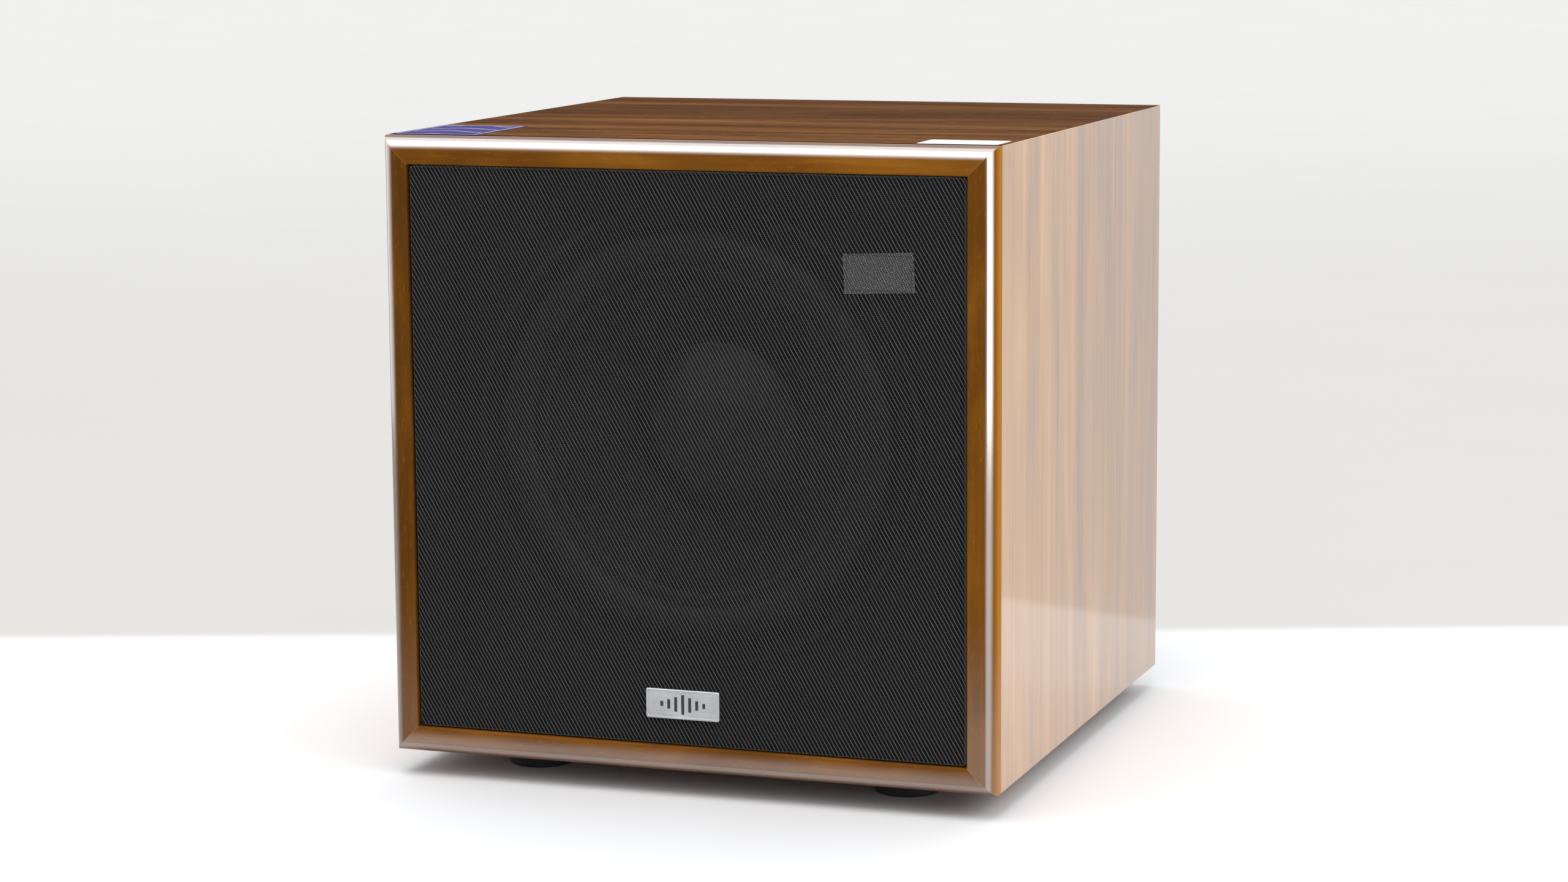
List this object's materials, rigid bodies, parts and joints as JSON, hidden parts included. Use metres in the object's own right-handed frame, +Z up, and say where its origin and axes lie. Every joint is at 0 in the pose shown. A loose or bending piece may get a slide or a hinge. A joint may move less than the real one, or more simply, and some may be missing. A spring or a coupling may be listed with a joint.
{
  "type": "subwoofer",
  "caption": "Powered subwoofer: sealed wooden cube with mitred front moulding, pull-off cloth grille, 12-inch driver, rubber feet and a rear amplifier panel with controls.",
  "frame": {"origin": "centre of the whole object's footprint, on the surface that its feet stand on", "axes": "+X to the right seen from the front, +Y from the grille to the amplifier panel, +Z up"},
  "size_m": [0.43, 0.452, 0.4402],
  "materials": {
    "veneer_top": "satin",
    "veneer_side": "gloss",
    "baffle_paint": "matte",
    "bare_wood": "matte",
    "rail_wood": "gloss",
    "wadding": "matte",
    "foot_rubber": "matte",
    "screw_steel": "satin",
    "black_screw": "satin",
    "purple_label": "gloss",
    "white_label": "satin",
    "grille_board": "matte",
    "grille_fabric": "matte",
    "badge_metal": "brushed",
    "black_plastic": "matte",
    "cast_basket": "satin",
    "foam_gasket": "matte",
    "surround_rubber": "satin",
    "spider_cloth": "matte",
    "zinc_steel": "satin",
    "ferrite": "matte",
    "cone_paper": "matte",
    "cap_plastic": "satin",
    "former_film": "gloss",
    "copper_wire": "satin",
    "terminal_board": "matte",
    "amp_plate": "powder coat",
    "black_anodised": "anodised",
    "circuit_board": "satin",
    "transformer_tape": "satin",
    "capacitor_sleeve": "gloss",
    "chip_plastic": "matte",
    "knob_plastic": "satin",
    "white_plastic": "satin",
    "red_plastic": "gloss",
    "fuse_ceramic": "matte",
    "led_lens": "gloss",
    "gold_plate": "polished",
    "wire_jacket": "matte"
  },
  "bodies": {
    "cabinet": {"top_panel": "veneer_top", "bottom_panel": "veneer_top", "left_panel": "veneer_side", "right_panel": "veneer_side", "back_panel": "baffle_paint", "front_baffle": "baffle_paint", "window_brace": "bare_wood", "corner_battens": "bare_wood", "trim_rail_top": "rail_wood", "trim_rail_bottom": "rail_wood", "trim_rail_left": "rail_wood", "trim_rail_right": "rail_wood", "damping_wadding": "wadding", "feet": "foot_rubber", "foot_screws": "screw_steel", "corner_label": "purple_label", "top_label": "white_label", "grille_sockets": "black_plastic", "driver_basket": "cast_basket", "driver_gasket": "foam_gasket", "surround_ring": "foam_gasket", "surround": "surround_rubber", "spider": "spider_cloth", "top_plate": "zinc_steel", "magnet": "ferrite", "yoke": "zinc_steel", "magnet_boot": "foot_rubber", "driver_terminals": "terminal_board", "driver_screws": "black_screw", "amp_panel": "amp_plate", "amp_gasket": "foam_gasket", "amp_screws": "black_screw", "heat_sink": "black_anodised", "main_board": "circuit_board", "input_board": "circuit_board", "transformer": "transformer_tape", "filter_capacitors": "capacitor_sleeve", "output_transistors": "chip_plastic", "potentiometers": "zinc_steel", "slide_switch_housings": "zinc_steel", "inlet_module": "black_plastic", "status_led": "led_lens", "rca_jacks": "gold_plate", "driver_lead": "wire_jacket"},
    "grille": {"grille_frame": "grille_board", "grille_cloth": "grille_fabric", "badge": "badge_metal", "inner_label": "white_label", "grille_pegs": "black_plastic"},
    "diaphragm": {"cone": "cone_paper", "dust_cap": "cap_plastic", "voice_coil_former": "former_film", "voice_coil_winding": "copper_wire"},
    "volume_control": {"volume_knob": "knob_plastic"},
    "crossover_control": {"crossover_knob": "knob_plastic"},
    "phase_switch": {"phase_slider": "white_plastic"},
    "power_mode_switch": {"power_mode_slider": "white_plastic"},
    "power_switch": {"power_rocker": "red_plastic"},
    "fuse_carrier": {"fuse_drawer": "black_plastic", "fuse": "fuse_ceramic"}
  },
  "joints": [
    {"name": "grille_pull", "type": "slide", "parent": "cabinet", "child": "grille", "axis": [0, -1, 0], "range_m": [0, 0.04]},
    {"name": "cone_travel", "type": "slide", "parent": "cabinet", "child": "diaphragm", "axis": [0, -1, 0], "range_m": [-0.01, 0.01], "stiffness_N_per_m": 4000, "deforming": ["surround", "spider"]},
    {"name": "volume_turn", "type": "hinge", "parent": "cabinet", "child": "volume_control", "pos_m": [0.052, 0.208, 0.231], "axis": [0, 1, 0], "range_deg": [-150, 150]},
    {"name": "crossover_turn", "type": "hinge", "parent": "cabinet", "child": "crossover_control", "pos_m": [0.002, 0.208, 0.231], "axis": [0, 1, 0], "range_deg": [-150, 150]},
    {"name": "phase_slide", "type": "slide", "parent": "cabinet", "child": "phase_switch", "axis": [-1, 0, 0], "range_m": [0, 0.005]},
    {"name": "power_mode_slide", "type": "slide", "parent": "cabinet", "child": "power_mode_switch", "axis": [-1, 0, 0], "range_m": [-0.004, 0.004]},
    {"name": "power_rock", "type": "hinge", "parent": "cabinet", "child": "power_switch", "pos_m": [-0.058, 0.207, 0.208], "axis": [0, 0, 1], "range_deg": [0, 20]},
    {"name": "fuse_pull", "type": "slide", "parent": "cabinet", "child": "fuse_carrier", "axis": [0, 1, 0], "range_m": [0, 0.018]}
  ]
}
